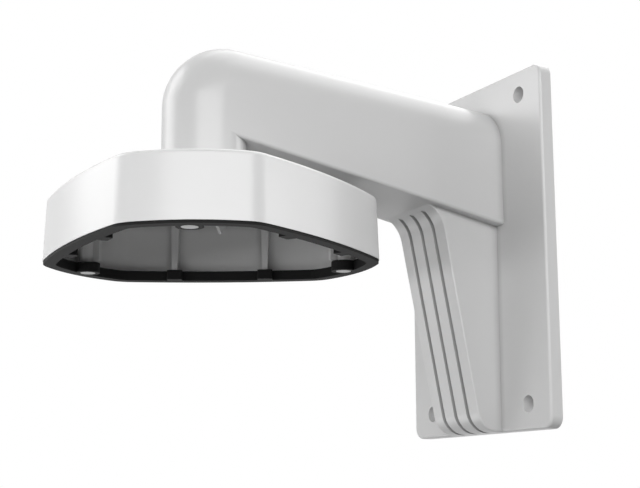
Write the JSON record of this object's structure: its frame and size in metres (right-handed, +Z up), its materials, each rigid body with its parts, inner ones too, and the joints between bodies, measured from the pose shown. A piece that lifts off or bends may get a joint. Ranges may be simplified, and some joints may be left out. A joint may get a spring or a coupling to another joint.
{
  "type": "camera wall bracket",
  "caption": "Wall bracket for a dome camera: hollow tapering arm on a bolted plate with a grooved gusset, and a three-sided screwed-on cap that takes the camera.",
  "frame": {"origin": "centre of the wall plate's back face, on the wall", "axes": "+Y into the wall, the arm runs out along -Y, +Z up, X across; symmetric about X = 0 but for the lanyard lug"},
  "size_m": [0.1626, 0.229, 0.183],
  "materials": {
    "white_paint": "satin",
    "white_paint_cap": "satin",
    "black_rubber": "matte",
    "seal_rubber": "matte",
    "grommet_rubber": "matte",
    "screw_steel": "plain",
    "washer_steel": "plain",
    "plug_plastic": "matte"
  },
  "bodies": {
    "root": {"arm_casting": "white_paint", "cap_shell": "white_paint_cap", "rim_gasket": "black_rubber", "tube_seal": "seal_rubber", "cable_grommet": "grommet_rubber", "cap_screw_1": "screw_steel", "cap_screw_2": "screw_steel", "cap_screw_3": "screw_steel", "cap_screw_4": "screw_steel", "lock_washer_1": "washer_steel", "lock_washer_2": "washer_steel", "lock_washer_3": "washer_steel", "lock_washer_4": "washer_steel", "flat_washer_1": "washer_steel", "flat_washer_2": "washer_steel", "flat_washer_3": "washer_steel", "flat_washer_4": "washer_steel", "boss_plug_1": "plug_plastic", "boss_plug_2": "plug_plastic", "boss_plug_3": "plug_plastic"}
  },
  "joints": []
}
